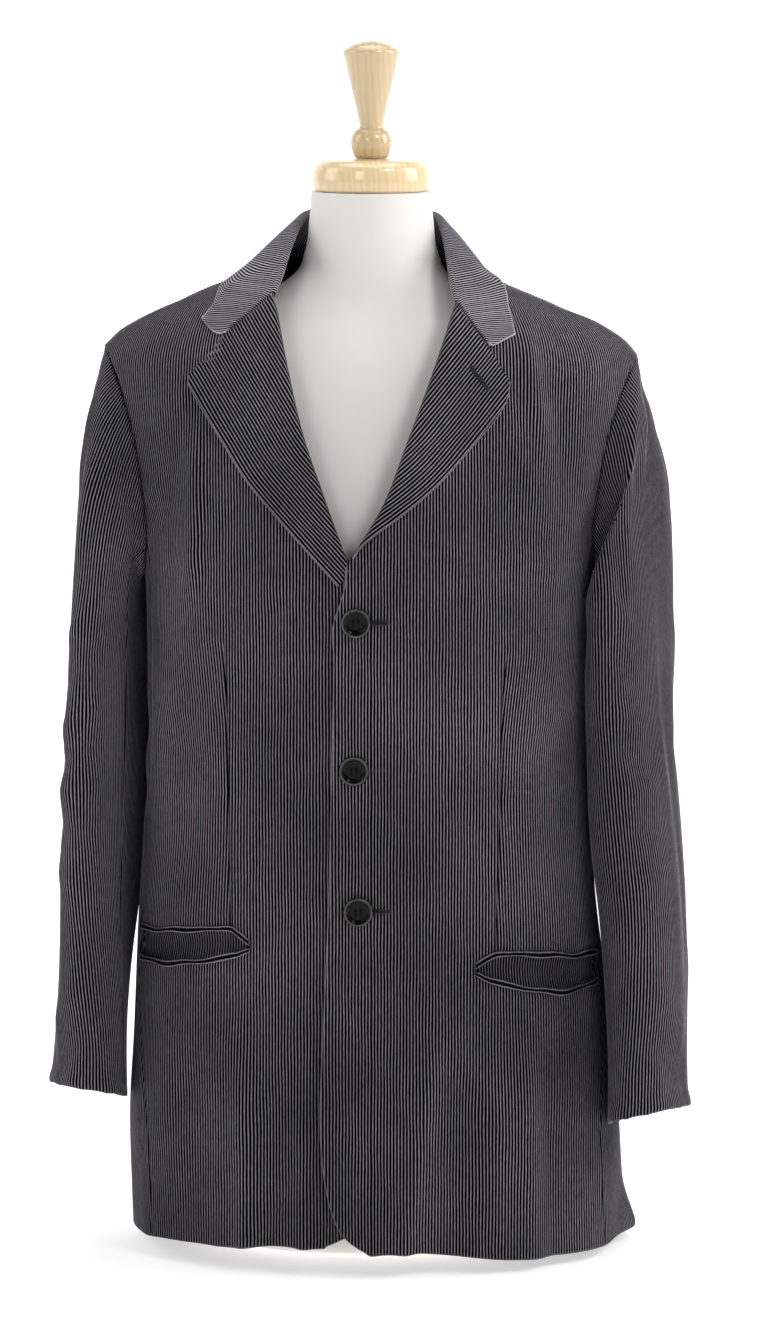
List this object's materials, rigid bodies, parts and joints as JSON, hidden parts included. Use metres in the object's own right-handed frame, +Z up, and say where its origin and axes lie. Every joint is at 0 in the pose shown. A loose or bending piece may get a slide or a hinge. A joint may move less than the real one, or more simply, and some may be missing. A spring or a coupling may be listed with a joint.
{
  "type": "corduroy blazer on a dress form",
  "caption": "Buttoned wide-wale corduroy blazer with notched lapels, jetted pockets and tailored sleeves, hanging open-ended on a limbless dress form with a turned wooden neck cap.",
  "frame": {"origin": "middle of the dress form's flat foot, on the floor", "axes": "+Z up; the front of the coat faces -Y; +X is the wearer's left"},
  "size_m": [0.5502, 0.2892, 1.0382],
  "materials": {
    "corduroy": "wide-wale cotton corduroy, grey-tipped black pile",
    "button": "polished black, dished",
    "form_cover": "smooth ivory jersey cover",
    "turned_wood": "varnished pale wood"
  },
  "bodies": {
    "root": {"front_left": "corduroy", "front_right": "corduroy", "side_left": "corduroy", "side_right": "corduroy", "back_left": "corduroy", "back_right": "corduroy", "sleeve_top_left": "corduroy", "sleeve_under_left": "corduroy", "sleeve_top_right": "corduroy", "sleeve_under_right": "corduroy", "lapel_left": "corduroy", "lapel_right": "corduroy", "collar": "corduroy", "welt_upper_left": "corduroy", "welt_lower_left": "corduroy", "welt_upper_right": "corduroy", "welt_lower_right": "corduroy", "facing_left": "corduroy", "facing_right": "corduroy", "button_1": "button", "button_2": "button", "button_3": "button", "form_body": "form_cover", "form_neck_cap": "turned_wood", "form_finial": "turned_wood"}
  },
  "joints": []
}
